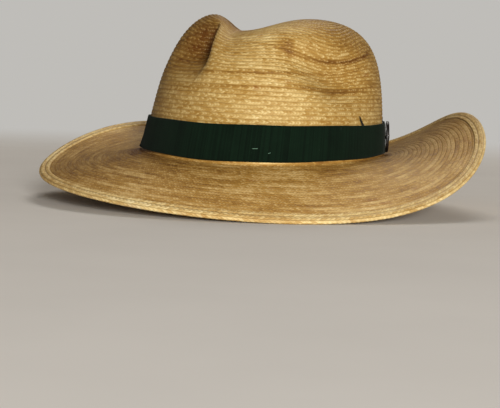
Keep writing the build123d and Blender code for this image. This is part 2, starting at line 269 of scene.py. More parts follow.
# ---- meshes ----
def mesh_object(name, verts, faces, uv, material, layers=None):
    """Mesh from vertices in mm, four-sided faces and one UV pair for each face corner."""
    mesh = bpy.data.meshes.new(name)
    mesh.vertices.add(len(verts))
    mesh.vertices.foreach_set("co", (verts * MM).astype(np.float32).ravel())
    mesh.loops.add(faces.size)
    mesh.loops.foreach_set("vertex_index", faces.astype(np.int32).ravel())
    mesh.polygons.add(len(faces))
    mesh.polygons.foreach_set("loop_start", np.arange(0, faces.size, 4, dtype=np.int32))
    mesh.update(calc_edges=True)
    mesh.polygons.foreach_set("use_smooth", np.ones(len(faces), bool))
    layer = mesh.uv_layers.new(name="OFBake")
    layer.data.foreach_set("uv", uv.astype(np.float32).ravel())
    for key, values in (layers or {}).items():
        kind = "FLOAT" if values.ndim == 1 else "FLOAT_VECTOR"
        attribute = mesh.attributes.new(key, kind, "POINT")
        field = "value" if kind == "FLOAT" else "vector"
        attribute.data.foreach_set(field, values.astype(np.float32).ravel())
    mesh.materials.append(material)
    thing = bpy.data.objects.new(name, mesh)
    scene.collection.objects.link(thing)
    return thing


def grid_faces(rows, cols, wrap_cols=False, wrap_rows=False, flip=False):
    """Faces and UVs of a grid of vertices."""
    r, c = np.meshgrid(
        np.arange(rows if wrap_rows else rows - 1),
        np.arange(cols if wrap_cols else cols - 1),
        indexing="ij",
    )
    corners = [(r, c), (r, c + 1), (r + 1, c + 1), (r + 1, c)]
    if flip:
        corners.reverse()
    faces = np.stack([a % rows * cols + b % cols for a, b in corners], -1).reshape(-1, 4)
    wide, high = (cols if wrap_cols else cols - 1), (rows if wrap_rows else rows - 1)
    uv = np.stack([np.stack([b / wide, a / high], -1) for a, b in corners], -2).reshape(-1, 2)
    return faces, uv


def grid_object(name, points, material, layers=None, **how):
    """Mesh of a grid of points, rows by columns."""
    rows, cols = points.shape[:2]
    faces, uv = grid_faces(rows, cols, **how)
    flat = {k: v.reshape(rows * cols, *v.shape[2:]) for k, v in (layers or {}).items()}
    return mesh_object(name, points.reshape(-1, 3), faces, uv, material, flat)


def slab_object(name, front, back, material, layers=None):
    """Closed thin piece between two grids of points, with a rim round their borders."""
    rows, cols = front.shape[:2]
    faces, uv = grid_faces(rows, cols)
    count = rows * cols
    ids = np.arange(count).reshape(rows, cols)
    border = np.concatenate([ids[0, :-1], ids[:-1, -1], ids[-1, :0:-1], ids[:0:-1, 0]])
    ahead = np.roll(border, -1)
    rim = np.stack([border, border + count, ahead + count, ahead], -1)
    share = np.arange(len(border)) / len(border)
    tiny = 0.01
    rim_uv = np.stack([share, share, share + tiny, share + tiny], -1).reshape(-1)
    rim_uv = np.stack([rim_uv * 0.98, np.tile([0.995, 1.0, 1.0, 0.995], len(border))], -1)
    half = np.array([0.49, 0.98])
    back_uv = uv.reshape(-1, 4, 2)[:, ::-1].reshape(-1, 2)
    return mesh_object(
        name,
        np.concatenate([front.reshape(-1, 3), back.reshape(-1, 3)]),
        np.concatenate([faces, faces[:, ::-1] + count, rim]),
        np.concatenate([uv * half, back_uv * half + [0.5, 0.0], rim_uv]),
        material,
        {k: np.concatenate([v.reshape(count, *v.shape[2:])] * 2) for k, v in (layers or {}).items()},
    )


class Heap:
    """Several small grids gathered into one mesh, each with its own tile of the UV square."""

    def __init__(self):
        self.verts, self.faces, self.uvs, self.count = [], [], [], 0

    def add(self, points, **how):
        rows, cols = points.shape[:2]
        faces, uv = grid_faces(rows, cols, **how)
        self.verts.append(points.reshape(-1, 3))
        self.faces.append(faces + self.count)
        self.uvs.append(uv)
        self.count += rows * cols

    def make(self, name, material):
        side = int(np.ceil(np.sqrt(len(self.uvs))))
        tiles = []
        for i, uv in enumerate(self.uvs):
            corner = np.array([i % side, i // side])
            tiles.append((uv * 0.94 + 0.03 + corner) / side)
        return mesh_object(
            name, np.concatenate(self.verts), np.concatenate(self.faces), np.concatenate(tiles), material
        )


def tube(path, radius, sides, side_hint):
    """Grid of points round a path; radius may vary along it, and the ends close when it is 0."""
    path = np.asarray(path, float)
    ahead = unit(np.gradient(path, axis=0))
    across = unit(np.cross(ahead, np.asarray(side_hint, float)))
    other = np.cross(across, ahead)
    a = np.linspace(0, 2 * pi, sides, endpoint=False)
    radius = np.broadcast_to(radius, len(path))[:, None, None]
    ring = across[:, None] * np.cos(a)[None, :, None] + other[:, None] * np.sin(a)[None, :, None]
    return path[:, None] + radius * ring


# ---- materials ----
def linear(r, g, b):
    """Colour given as 0 to 255, as a linear RGBA."""
    c = np.array([r, g, b]) / 255
    c = np.where(c <= 0.04045, c / 12.92, ((c + 0.055) / 1.055) ** 2.4)
    return (*c, 1.0)


class Paint:
    """Short names for building one node material."""

    def __init__(self, name):
        self.material = bpy.data.materials.new(name)
        self.material.use_nodes = True
        self.tree = self.material.node_tree
        self.shader = self.tree.nodes["Principled BSDF"]

    def node(self, kind, inputs=(), **settings):
        n = self.tree.nodes.new(kind)
        for key, value in settings.items():
            setattr(n, key, value)
        for key, value in dict(inputs).items():
            self.put(n.inputs[key], value)
        return n

    def put(self, socket, value):
        if isinstance(value, bpy.types.NodeSocket):
            self.tree.links.new(value, socket)
        else:
            socket.default_value = value

    def math(self, operation, a, b=0.0, clamp=False):
        return self.node("ShaderNodeMath", {0: a, 1: b}, operation=operation, use_clamp=clamp).outputs[0]

    def woven(self):
        """The mesh's weave layer, and its parts: distance along, row or distance across, and height."""
        weave = self.node("ShaderNodeAttribute", attribute_name="weave").outputs["Vector"]
        return weave, *self.node("ShaderNodeSeparateXYZ", {0: weave}).outputs

    def product(self, a, b):
        return self.math("MULTIPLY", a, b)

    def varied(self, shade, value, amount, clamp=False):
        """shade moved up or down by as much as value differs from a half."""
        change = self.product(self.math("SUBTRACT", value, 0.5), amount)
        return self.math("ADD", shade, change, clamp)

    def spread(self, value, low, high, out_low=0.0, out_high=1.0):
        """value taken from low..high to out_low..out_high, smoothly and clamped."""
        inputs = {"Value": value, "From Min": low, "From Max": high, "To Min": out_low, "To Max": out_high}
        return self.node("ShaderNodeMapRange", inputs, interpolation_type="SMOOTHSTEP").outputs["Result"]

    def vector(self, x=0.0, y=0.0, z=0.0):
        return self.node("ShaderNodeCombineXYZ", {"X": x, "Y": y, "Z": z}).outputs[0]

    def scaled(self, vector, x, y, z):
        return self.node("ShaderNodeVectorMath", {0: vector, 1: (x, y, z)}, operation="MULTIPLY").outputs[0]

    def noise(self, vector, scale, detail=2.0, rough=0.5):
        inputs = {"Vector": vector, "Scale": scale, "Detail": detail, "Roughness": rough}
        return self.node("ShaderNodeTexNoise", inputs).outputs["Fac"]

    def random(self, vector):
        return self.node("ShaderNodeTexWhiteNoise", {"Vector": vector}).outputs["Value"]

    def ramp(self, value, *stops):
        n = self.node("ShaderNodeValToRGB", {"Fac": value})
        while len(n.color_ramp.elements) < len(stops):
            n.color_ramp.elements.new(0.5)
        for element, (place, colour) in zip(n.color_ramp.elements, stops):
            element.position = place
            element.color = colour
        return n.outputs["Color"]

    def mix(self, share, a, b):
        n = self.node("ShaderNodeMix", data_type="RGBA")
        self.put(n.inputs[0], share)
        self.put(n.inputs[6], a)
        self.put(n.inputs[7], b)
        return n.outputs[2]

    def bump(self, height, distance, strength):
        inputs = {"Height": height, "Distance": distance, "Strength": strength}
        self.put(self.shader.inputs["Normal"], self.node("ShaderNodeBump", inputs).outputs[0])

    def position(self):
        return self.node("ShaderNodeTexCoord").outputs["Object"]

    def finish(self, **sockets):
        names = {"colour": "Base Color", "rough": "Roughness", "metal": "Metallic",
                 "gloss": "Specular IOR Level", "sheen": "Sheen Weight", "coat": "Coat Weight"}
        for key, value in sockets.items():
            self.put(self.shader.inputs[names[key]], value)
        return self.material


def straw_material(name, dark, gold, pale, cream, strands=0.24, streaks=0.42, painted_gap_shade=0.6):
    """Palm braid: strands that cross in a herringbone, each a slightly different straw, with painted
    highlights on the strands and painted shade in the gaps.
    """
    p = Paint(name)
    _, run, row, height = p.woven()
    tone = p.node("ShaderNodeAttribute", attribute_name="tone").outputs["Fac"]
    row_number = p.math("FLOOR", row)
    in_row = p.math("SUBTRACT", row, row_number)
    from_middle = p.math("ABSOLUTE", p.math("SUBTRACT", p.product(in_row, 2.0), 1.0))
    half = p.math("GREATER_THAN", in_row, 0.5)
    plait = p.math("ADD", p.math("DIVIDE", run, PLAIT), p.product(from_middle, SLANT))
    cell = p.math("FLOOR", plait)
    in_cell = p.math("SUBTRACT", plait, cell)
    strand = p.random(p.vector(cell, row_number, half))
    # one length of straw keeps its shade for some way along its row
    length = p.noise(p.vector(p.product(run, 0.03), p.product(row_number, 5.37)), 1.0, 1.5)
    stain = p.noise(p.vector(p.product(run, 0.05), p.product(row_number, 2.11)), 1.0, 2.0)
    place = p.noise(p.position(), 16.0, 3.0)
    fibre = p.noise(p.vector(p.product(run, 0.9), p.product(row, 16.0)), 1.0, 3.0, 0.6)
    shade = p.varied(tone, strand, strands)
    shade = p.varied(shade, length, streaks)
    shade = p.varied(shade, place, 0.40)
    shade = p.varied(shade, fibre, 0.35, clamp=True)
    colour = p.ramp(shade, (0.0, dark), (0.42, gold), (0.72, pale), (1.0, cream))
    # brown stains along a row
    colour = p.mix(p.spread(stain, 0.60, 0.74, 0.0, 0.34), colour, linear(128, 74, 30))
    # painted highlight: the crown of each strand is painted pale in little dashes, for the glint of light on
    # it
    painted_glint = p.product(p.spread(from_middle, 0.55, 0.1), p.spread(in_cell, 0.2, 0.42))
    painted_glint = p.product(painted_glint, p.spread(in_cell, 0.9, 0.62))
    painted_glint = p.product(painted_glint, p.spread(strand, 0.2, 0.9))
    colour = p.mix(p.product(painted_glint, 0.28), colour, cream)
    # painted shade between strands and in the gap between rows
    gap = p.math("ABSOLUTE", p.math("SUBTRACT", in_cell, 0.5))
    colour = p.mix(p.spread(gap, 0.36, 0.5, 0.0, 0.25), colour, dark)
    painted_gap_dark = tuple(0.6 * c for c in dark[:3]) + (1.0,)
    colour = p.mix(p.spread(height, 0.62, 0.1, 0.0, painted_gap_shade), colour, painted_gap_dark)
    fine = p.noise(p.vector(p.product(run, 3.0), p.product(row, 40.0)), 1.0, 2.0)
    p.bump(p.math("ADD", p.product(fine, 0.5), p.product(fibre, 0.6)), 0.0002, 0.6)
    worn = p.math("ADD", p.product(fibre, 0.6), p.product(strand, 0.4))
    return p.finish(colour=colour, rough=p.spread(worn, 0.2, 0.8, 0.42, 0.68), gloss=0.22)


WEFT = 0.34  # distance between two threads across a ribbon


def ribbon_material(name, dark, light, ribs_per_mm=1.15):
    """Ribbed ribbon: matt, with a little lint and worn threads."""
    p = Paint(name)
    weave, along, across, _ = p.woven()
    rib = p.math("FLOOR", p.product(along, ribs_per_mm))
    thread = p.math("SINE", p.product(across, 2 * pi / WEFT))
    shade = p.random(p.vector(rib, 0.0, 3.0))
    cloud = p.noise(p.position(), 60.0, 3.0)
    lint = p.noise(p.position(), 900.0, 2.0)
    fuzz = p.noise(p.scaled(weave, 2.5, 2.5, 0.0), 1.0, 3.0)
    value = p.math("ADD", p.product(shade, 0.25), p.product(cloud, 0.35))
    value = p.math("ADD", value, p.product(fuzz, 0.4))
    colour = p.ramp(value, (0.25, dark), (0.8, light))
    colour = p.mix(p.spread(lint, 0.72, 0.78, 0.0, 0.12), colour, linear(84, 108, 90))
    p.bump(p.math("ADD", p.product(thread, 0.3), fuzz), 0.00008, 0.6)
    return p.finish(colour=colour, rough=p.spread(fuzz, 0.3, 0.7, 0.8, 0.95), gloss=0.1, sheen=0.04)


def leather_material(name):
    """Sweatband leather: fine pores, creases and rubbed darker places."""
    p = Paint(name)
    at = p.position()
    pores = p.node("ShaderNodeTexVoronoi", {"Vector": at, "Scale": 1500.0}).outputs["Distance"]
    grain = p.noise(at, 520.0, 4.0, 0.6)
    rubbed = p.noise(at, 22.0, 3.0)
    dark, brown, tan = linear(96, 58, 32), linear(134, 86, 50), linear(158, 108, 66)
    colour = p.ramp(rubbed, (0.3, dark), (0.55, brown), (0.8, tan))
    colour = p.mix(p.spread(grain, 0.35, 0.65, 0.25, 0.0), colour, linear(62, 36, 20))
    p.bump(p.math("ADD", p.product(pores, 0.7), grain), 0.00015, 0.55)
    return p.finish(colour=colour, rough=p.spread(grain, 0.3, 0.7, 0.42, 0.62), gloss=0.45)


def metal_material(name, colour, worn, low, high, metal=1.0, coat=0.0):
    """Metal or lacquered metal with fine scratches and dull patches."""
    p = Paint(name)
    at = p.position()
    scratch = p.noise(p.scaled(at, 2600.0, 300.0, 900.0), 1.0, 3.0)
    patch = p.noise(at, 180.0, 3.0)
    shown = p.mix(p.spread(patch, 0.45, 0.75, 0.0, 0.7), colour, worn)
    p.bump(scratch, 0.00002, 0.4)
    return p.finish(colour=shown, rough=p.spread(patch, 0.3, 0.7, low, high), metal=metal, coat=coat)


def grained_material(name, grain, dark, light, low, high, relief, strength, gloss=0.5):
    """Thread, feather or plastic: one grain, stretched by its three scales, sets shade, gloss and relief."""
    p = Paint(name)
    value = p.noise(p.scaled(p.position(), *grain), 1.0, 2.0)
    colour = p.ramp(value, (0.3, dark), (0.7, light))
    p.bump(value, relief, strength)
    return p.finish(colour=colour, rough=p.spread(value, 0.3, 0.7, low, high), gloss=gloss)


def thread_material(name, dark, light):
    """Twisted thread with a soft, fibrous surface."""
    return grained_material(name, (4200.0, 4200.0, 1500.0), dark, light, 0.7, 0.9, 0.00008, 0.7, 0.25)


def card_material(name):
    """Off-white woven label cloth with slightly soiled patches."""
    p = Paint(name)
    at = p.position()
    weft = p.noise(p.scaled(at, 5200.0, 5200.0, 1200.0), 1.0, 2.0)
    soil = p.noise(at, 240.0, 3.0)
    colour = p.ramp(soil, (0.35, linear(196, 186, 164)), (0.7, linear(228, 222, 206)))
    colour = p.mix(p.spread(weft, 0.4, 0.7, 0.0, 0.3), colour, linear(150, 140, 118))
    p.bump(weft, 0.00008, 0.7)
    return p.finish(colour=colour, rough=p.spread(soil, 0.3, 0.7, 0.75, 0.9), gloss=0.3)


STRAW_DARK, STRAW_GOLD = linear(100, 63, 25), linear(157, 124, 64)
STRAW_PALE, STRAW_CREAM = linear(193, 169, 116), linear(233, 224, 186)
crown_straw = straw_material("straw_crown", STRAW_DARK, STRAW_GOLD, STRAW_PALE, STRAW_CREAM)
# the brim's straw: its own shades, stronger streaks and lighter painted shade in the gaps between rows
brim_straw = straw_material(
    "straw_brim", STRAW_DARK, linear(168, 132, 70), linear(206, 177, 122), linear(238, 224, 184),
    strands=0.2, streaks=0.8, painted_gap_shade=0.4,
)
edge_straw = straw_material(
    "straw_edge", linear(112, 76, 36), linear(180, 148, 92), linear(216, 194, 142), linear(242, 230, 192)
)
band_cloth = ribbon_material("ribbon_green", linear(8, 18, 12), linear(20, 40, 27))
bow_cloth = ribbon_material("ribbon_bow", linear(12, 20, 18), linear(34, 46, 40), 1.6)
tape_cloth = ribbon_material("tape_cloth", linear(28, 30, 28), linear(56, 58, 52), 1.4)
leather = leather_material("sweat_leather")
thread_pale = thread_material("thread_pale", linear(60, 92, 78), linear(122, 152, 134))
thread_dark = thread_material("thread_dark", linear(14, 26, 22), linear(44, 62, 54))
thread_tan = thread_material("thread_tan", linear(150, 118, 76), linear(206, 180, 136))
quill = grained_material(
    "quill_dark", (900.0, 900.0, 5200.0), linear(14, 13, 12), linear(46, 42, 36), 0.4, 0.65, 0.0001, 0.6
)
rim_lacquer = metal_material("rim_lacquer", linear(18, 15, 15), linear(44, 34, 30), 0.45, 0.62, 0.0, 0.1)
dome_metal = metal_material("dome_metal", linear(118, 112, 104), linear(70, 60, 50), 0.14, 0.34)
post_metal = metal_material("post_metal", linear(176, 172, 164), linear(110, 104, 94), 0.3, 0.5)
wire_metal = metal_material("wire_metal", linear(150, 148, 144), linear(92, 74, 58), 0.35, 0.6)
sleeve_metal = metal_material("sleeve_metal", linear(168, 150, 104), linear(104, 84, 54), 0.3, 0.5)
reed_plastic = grained_material(
    "reed_plastic", (140.0,) * 3, linear(196, 182, 150), linear(222, 212, 186), 0.25, 0.4, 0.0001, 0.3
)
card = card_material("label_cloth")


# ---- straw ----
def dress(piece, node, body="hat"):
    """Give a piece its body and the CAD node that it replaces."""
    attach(piece, body)
    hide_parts(node)


def plait_height(run, in_row):
    """Relief of the braid in mm: a domed row, slanting strands and a step to the next row."""
    from_middle = np.abs(2 * in_row - 1)
    dome = 1 - from_middle**6
    strand = np.cos(2 * pi * (run / PLAIT + SLANT * from_middle))
    return RIDGE * (dome - 1) + STRAND * strand * dome + SHINGLE * (in_row - 0.5) * dome


def braid(name, first, rows, columns, surface, material, outward, tone,
          outer_spiral=True, across=ACROSS, relief=1.0):
    """One strip of the spiral of braid. surface(phi, run) gives its points, outward is +1 or -1."""
    phi = np.linspace(-pi, pi, columns + 1)[None, :]
    turn = (phi + pi) / (2 * pi)
    number = np.arange(first, first + rows)
    rows_at = np.append((number[:, None] + across[None, :]).ravel(), first + rows)[:, None]
    spiral = rows_at + (turn if outer_spiral else 1 - turn)
    wander = 0.04 * np.sin(7 * phi + 2.4 * spiral) + 0.03 * np.sin(13 * phi - 1.7 * spiral)
    run = np.maximum((spiral + wander) * ROW, 0)
    phi_grid = np.broadcast_to(phi, run.shape)
    base = surface(phi_grid, run)
    normal = unit(np.cross(np.gradient(base, axis=0), np.gradient(base, axis=1))) * outward
    # distance along the spiral, measured down the middle of each row
    centres = base[min(CENTRE_SAMPLE, len(across) - 1)::len(across)][:rows]
    steps = np.linalg.norm(np.diff(centres, axis=1), axis=-1)
    along = np.concatenate([np.zeros((rows, 1)), np.cumsum(steps, axis=1)], 1)
    if outer_spiral:
        along += (np.cumsum(steps.sum(1)) - steps.sum(1))[:, None]
    else:
        along = np.cumsum(steps.sum(1))[:, None] - along
    along = np.concatenate([np.repeat(along, len(across), axis=0), along[-1:]])
    in_row = np.broadcast_to(rows_at - np.floor(rows_at), run.shape)
    height = plait_height(along, in_row) * relief
    # every strand stands a little higher or lower than its neighbours
    cell = np.floor(along / PLAIT + SLANT * np.abs(2 * in_row - 1))
    lift = np.modf(np.abs(np.sin(cell * 12.9898 + np.floor(rows_at) * 78.233)) * 43758.5453)[0]
    height = height + LIFT * (lift - 0.5) * (1 - np.abs(2 * in_row - 1) ** 4)
    points = base + normal * height[..., None]
    depth = (height + RIDGE + 0.2) / (RIDGE + 0.4)
    weave = np.stack([along, np.broadcast_to(rows_at, run.shape), depth], -1)
    layers = {"weave": weave, "tone": tone(phi_grid, run)}
    return grid_object(name, points, material, layers, flip=outward < 0)


# heights on the open crown: rims of the left dent, where painted shade runs, and browner rows across the
# front with their depth
UPPER_RIM, LOWER_RIM, RIM_THICK = 64.8, 45.2, 1.8
BROWN_ROWS = ((47.0, 0.24), (56.5, 0.32))
BROWN_ROW_THICK = 1.2


def crown_tone_and_painted_shade(phi, run):
    """Tone of the crown's straw: cream at the front, browner rows, and painted shade in and round the dents.
    """
    t = np.interp(sag(phi, run), TIP_RUN, TIP_T)
    x, y, z = open_crown(phi, *crown_level(t))
    azimuth = np.degrees(phi)
    shade = 0.49 + 0.12 * bell(azimuth, -4, 34) * smooth((z - 15) / 20)
    # the dent on the wearer's left: painted shade along its two rims, which rise at their ends, and in its
    # middle, and a painted shadow in its front corner
    _, _, across, along = pinch(x, y, z, PINCH_LEFT)
    length = bell(across, -0.2, 1.3)
    bow = across * across
    upper = UPPER_RIM + np.where(across < 0, 4.9, 10.5) * bow
    lower = LOWER_RIM + np.where(across < 0, 3.2, 5.2) * bow
    shade = shade - 0.36 * bell(z, upper, RIM_THICK) * length
    shade = shade - 0.30 * bell(z, lower, RIM_THICK) * length
    shade = shade - 0.08 * bell(along, 0.0, 0.75) * length
    shade = shade - 0.34 * bell(across, 0.82, 0.13) * bell(z, 76, 9)
    # painted shade on the upper crown on the wearer's left, which faces up, away from the low key light
    shade = shade - 0.12 * bell(azimuth, 45, 30) * smooth((z - 62) / 14)
    # painted shade all over the dent on the wearer's right, the side turned from the light
    _, _, across, along = pinch(x, y, z, PINCH_RIGHT)
    shade = shade - 0.30 * bell(across, -0.25, 0.8) * bell(along, 0.1, 1.0)
    # painted shade on the upper crown on the wearer's right, turned from the light
    shade = shade - 0.16 * bell(azimuth, -75, 30) * smooth((z - 45) / 20)
    for height, depth in BROWN_ROWS:
        shade = shade - depth * bell(z, height, BROWN_ROW_THICK) * bell(azimuth, 0, 42)
    return shade


def brim_tone_and_painted_shade(phi, run):
    """Tone of the brim's straw, with painted shade: darker near the crown at both sides, and on the wearer's
    right, turned from the light.
    """
    azimuth = np.degrees(phi)
    near_sides = smooth((run - 40) / 30) * np.sin(phi) ** 2
    # painted shade: in the hollow next to the crown at both sides, and on the wearer's right, turned from the
    # light
    dull = 0.26 * near_sides + 0.10 * bell(azimuth, -80, 45)
    return 0.45 - dull + 0.06 * bell(azimuth, 5, 35)


def inside_tone(phi, run):
    """The same shade all over the inside of the crown."""
    return np.full(run.shape, 0.36)


def crown_inner(phi, run):
    """Inner face of the crown's straw."""
    p = crown_surface(phi, run)
    n = unit(np.cross(np.gradient(p, axis=0), np.gradient(p, axis=1)))
    return p - n * STRAW


# strips of rows: name, the first row, how many rows, vertices round the hat
CROWN_ROWS = (
    ("crown_tip", 0, 14, 620), ("crown_top", 14, 14, 980),
    ("crown_side_upper", 28, 12, 1150), ("crown_side_lower", 40, 11, 1150),
)
for strip in CROWN_ROWS:
    dress(braid(*strip, crown_surface, crown_straw, 1, crown_tone_and_painted_shade), "crown")

INSIDE_ACROSS = np.array([0.0, 0.12, 0.4, 0.75])
INSIDE_RELIEF = -0.7  # the braid's back: a shallower relief, turned about
inside = braid(
    "crown_inside", 0, 54, 440, crown_inner, crown_straw, 1, inside_tone,
    across=INSIDE_ACROSS, relief=INSIDE_RELIEF,
)
dress(inside, "crown")

BRIM_RELIEF = 0.45
BRIM_ROWS = (("brim_top_outer", 0, 8, 1650), ("brim_top_middle", 8, 8, 1450), ("brim_top_inner", 16, 8, 1200))
for strip in BRIM_ROWS:
    piece = braid(*strip, brim_surface, brim_straw, -1, brim_tone_and_painted_shade, outer_spiral=False, relief=BRIM_RELIEF)
    dress(piece, "brim")


def brim_under(phi, run):
    """Lower face of the brim's straw."""
    return brim_surface(phi, run, STRAW)


UNDER_ROWS = (("brim_under_outer", 0, 12, 1150), ("brim_under_inner", 12, 13, 1000))
for strip in UNDER_ROWS:
    piece = braid(*strip, brim_under, brim_straw, 1, brim_tone_and_painted_shade, outer_spiral=False)
    dress(piece, "brim")


def edge_section(count):
    """Outline of the folded edge braid from its top lap, round the fold, to its lap underneath."""
    high = EDGE_SLOT + EDGE_LEAF
    nose = 2 * WIRE_U + EDGE_LEAF
    fold = nose - high
    turn = np.linspace(pi / 2, -pi / 2, 24)
    u = np.concatenate([[-EDGE_LAP, -EDGE_LAP + 0.25, -EDGE_LAP + 0.7], fold + high * np.cos(turn)])
    w = np.concatenate([[STRAW / 2 - 0.1, high * 0.72, high], high * np.sin(turn)])
    u, w = np.append(u, u[2::-1]), np.append(w, -w[2::-1])
    run = np.concatenate([[0], np.cumsum(np.hypot(np.diff(u), np.diff(w)))])
    at = np.linspace(0, run[-1], count)
    return np.interp(at, run, u), np.interp(at, run, w), at / run[-1]


EDGE_PLAIT, EDGE_RIDGES = 3.1, 5
EDGE_RIDGE, EDGE_STRAND = 0.34, 0.17
EDGE_ROUND, EDGE_ACROSS = 1700, 41  # vertices round the hat and across the braid


def edge_braid_piece():
    """The braid folded over the brim's edge, thicker and paler than the rest."""
    phi = np.linspace(-pi, pi, EDGE_ROUND, endpoint=False)
    u, w, share = edge_section(EDGE_ACROSS)
    base = edge_point(np.broadcast_to(phi, (EDGE_ACROSS, EDGE_ROUND)), u[:, None], w[:, None])
    closed = np.concatenate([base[:, -1:], base, base[:, :1]], 1)
    normal = unit(np.cross(np.gradient(closed, axis=0), np.gradient(closed, axis=1)))[:, 1:-1]
    steps = np.linalg.norm(np.diff(closed[EDGE_ACROSS // 2, :-1], axis=0), axis=-1)
    along = np.cumsum(steps)
    along = along * np.round(along[-1] / EDGE_PLAIT) * EDGE_PLAIT / along[-1]
    ridge = share * EDGE_RIDGES
    in_row = (ridge - np.floor(ridge))[:, None]
    from_middle = np.abs(2 * in_row - 1)
    dome = 1 - from_middle**4
    sway = np.cos(2 * pi * (along[None, :] / EDGE_PLAIT + 0.6 * from_middle + 0.5 * np.floor(ridge)[:, None]))
    height = EDGE_RIDGE * (dome - 1) + EDGE_STRAND * sway * dome
    fade = smooth(np.minimum(share, 1 - share) / 0.04)[:, None]
    points = base + normal * (height * fade)[..., None]
    depth = (height + 0.45) / 0.6
    rows_at = np.broadcast_to(ridge[:, None], depth.shape)
    weave = np.stack([np.broadcast_to(along * PLAIT / EDGE_PLAIT, depth.shape), rows_at, depth], -1)
    layers = {"weave": weave, "tone": np.full(depth.shape, 0.56)}
    return grid_object("edge_braid_folded", points, edge_straw, layers, wrap_cols=True)


dress(edge_braid_piece(), "edge_braid")


# ---- ribbon round the crown ----
RIB = 0.87  # width of one rib of the ribbon
RIB_STEPS = 4  # vertices to one rib
RIBBON_LENGTH = 612


def ribbon_outline(low, high, inner, outer):
    """Level and offset round the ribbon's section, from the outside low edge up and back down inside."""
    level = np.linspace(low, high, 13)
    bulge = 0.22 * np.sin(pi * (level - low) / (high - low))
    edge_in = (outer + inner) / 2
    levels = np.concatenate([[low - 0.15], level, [high + 0.15], [high - 0.2, low + 0.2]])
    offs = np.concatenate([[edge_in], outer + bulge, [edge_in], [inner + 0.05, inner + 0.05]])
    outside = np.concatenate([[0.3], np.ones(13), [0.3], [0, 0]])
    return levels, offs, outside


def rib_wave(count):
    """Relief of the ribs, 0 to 1, at each of count vertices."""
    return 0.5 + 0.5 * np.cos(2 * pi * np.arange(count) / RIB_STEPS)


def ribbon_piece():
    """The ribbon round the crown, ribbed, a little loose on the wearer's right and at its top edge."""
    columns = round(RIBBON_LENGTH / RIB) * RIB_STEPS
    phi = np.linspace(0, 2 * pi, columns, endpoint=False) + radians(BUTTON_PHI)
    levels, offs, outside = ribbon_outline(BAND_LOW, BAND_HIGH, BAND_IN, BAND_OUT)
    rib = rib_wave(columns)
    edge_rows = bell(levels, BAND_LOW + 0.6, 0.7) + bell(levels, BAND_HIGH - 0.6, 0.7)
    relief = outside[:, None] * (0.16 * rib[None, :] - 0.08 * edge_rows[:, None])
    turn = (phi + pi) % (2 * pi) - pi
    middle = (BAND_LOW + BAND_HIGH) / 2
    low_edge = np.clip((middle - levels) / (middle - BAND_LOW), 0, 1)[:, None] ** 2
    high_edge = np.clip((levels - middle) / (BAND_HIGH - middle), 0, 1)[:, None] ** 2
    loose = low_edge * 1.1 * bell(turn, radians(-84), 0.42)[None, :]
    loose = loose + high_edge * (0.25 + 0.2 * np.sin(5 * phi + 1) + 0.15 * np.sin(11 * phi))[None, :]
    wave = 0.25 * np.sin(4 * phi + 0.6) + 0.15 * np.sin(9 * phi + 2)
    level = levels[:, None] + wave[None, :] * (low_edge + high_edge)
    points = wall(phi[None, :], level, offs[:, None] + relief + loose * (outside[:, None] > 0))
    run = np.arange(columns) * RIB / RIB_STEPS
    weave = np.stack([np.broadcast_to(run, level.shape), level, np.zeros_like(level)], -1)
    return grid_object("ribbon", points, band_cloth, {"weave": weave}, wrap_cols=True, wrap_rows=True)


ribbon = ribbon_piece()
dress(ribbon, "hatband")


KEEPER_RIBS = 26


def keeper_piece():
    """Upright piece of ribbon over the band's join; its ribs run level."""
    rows = KEEPER_RIBS * RIB_STEPS
    level = np.linspace(KEEPER_LOW, KEEPER_HIGH, rows)
    rib = rib_wave(rows)
    x = np.linspace(-KEEPER_W / 2, KEEPER_W / 2, 17)
    phi = radians(BUTTON_PHI) + x / OVAL_B
    thick = KEEPER_OUT - KEEPER_IN
    edge_fall = 1 - 0.6 * (np.abs(x) > KEEPER_W / 2 - 0.5)
    tuck = smooth((level - (KEEPER_HIGH - 2.2)) / 2.2)
    outer = KEEPER_IN + thick * edge_fall[None, :] + 0.12 * rib[:, None] - 0.5 * tuck[:, None]
    front = wall(phi[None, :], level[:, None], outer)
    back = wall(phi[None, :], level[:, None], KEEPER_IN - 0.02 - 0.5 * tuck[:, None])
    weave = np.stack(np.broadcast_arrays(level[:, None], x[None, :], 0.0), -1)
    return slab_object("ribbon_keeper", front, back, band_cloth, {"weave": weave})


keeper = keeper_piece()
dress(keeper, "band_keeper")


TACK_RISE, TACK_STRANDS, TACK_TWIST = 0.35, 2, 2.2  # the last is the length of one twist


def tack(heap, phi_deg, level, length, turn_deg, thick):
    """One thread tack on the ribbon: twisted strands that come out, arch over and go back in."""
    axes, at = wall_frame(phi_deg, level, BAND_OUT + 0.15)
    s = np.linspace(-1, 1, 25)
    a = radians(turn_deg)
    ahead = s * length / 2
    for strand in range(TACK_STRANDS):
        twist = 2 * pi * (strand / TACK_STRANDS + s * length / TACK_TWIST)
        out = TACK_RISE * (1 - s**4) - 0.15 + 0.45 * thick * np.sin(twist)
        side = 0.45 * thick * np.cos(twist)
        local = np.stack([ahead * cos(a) - side * sin(a), ahead * sin(a) + side * cos(a), out], -1)
        radius = thick * 0.62 * np.sqrt(np.clip(1 - s**8, 0, 1))
        heap.add(tube(at + local @ axes.T, radius, 7, side_hint=axes[:, 2]), wrap_cols=True)


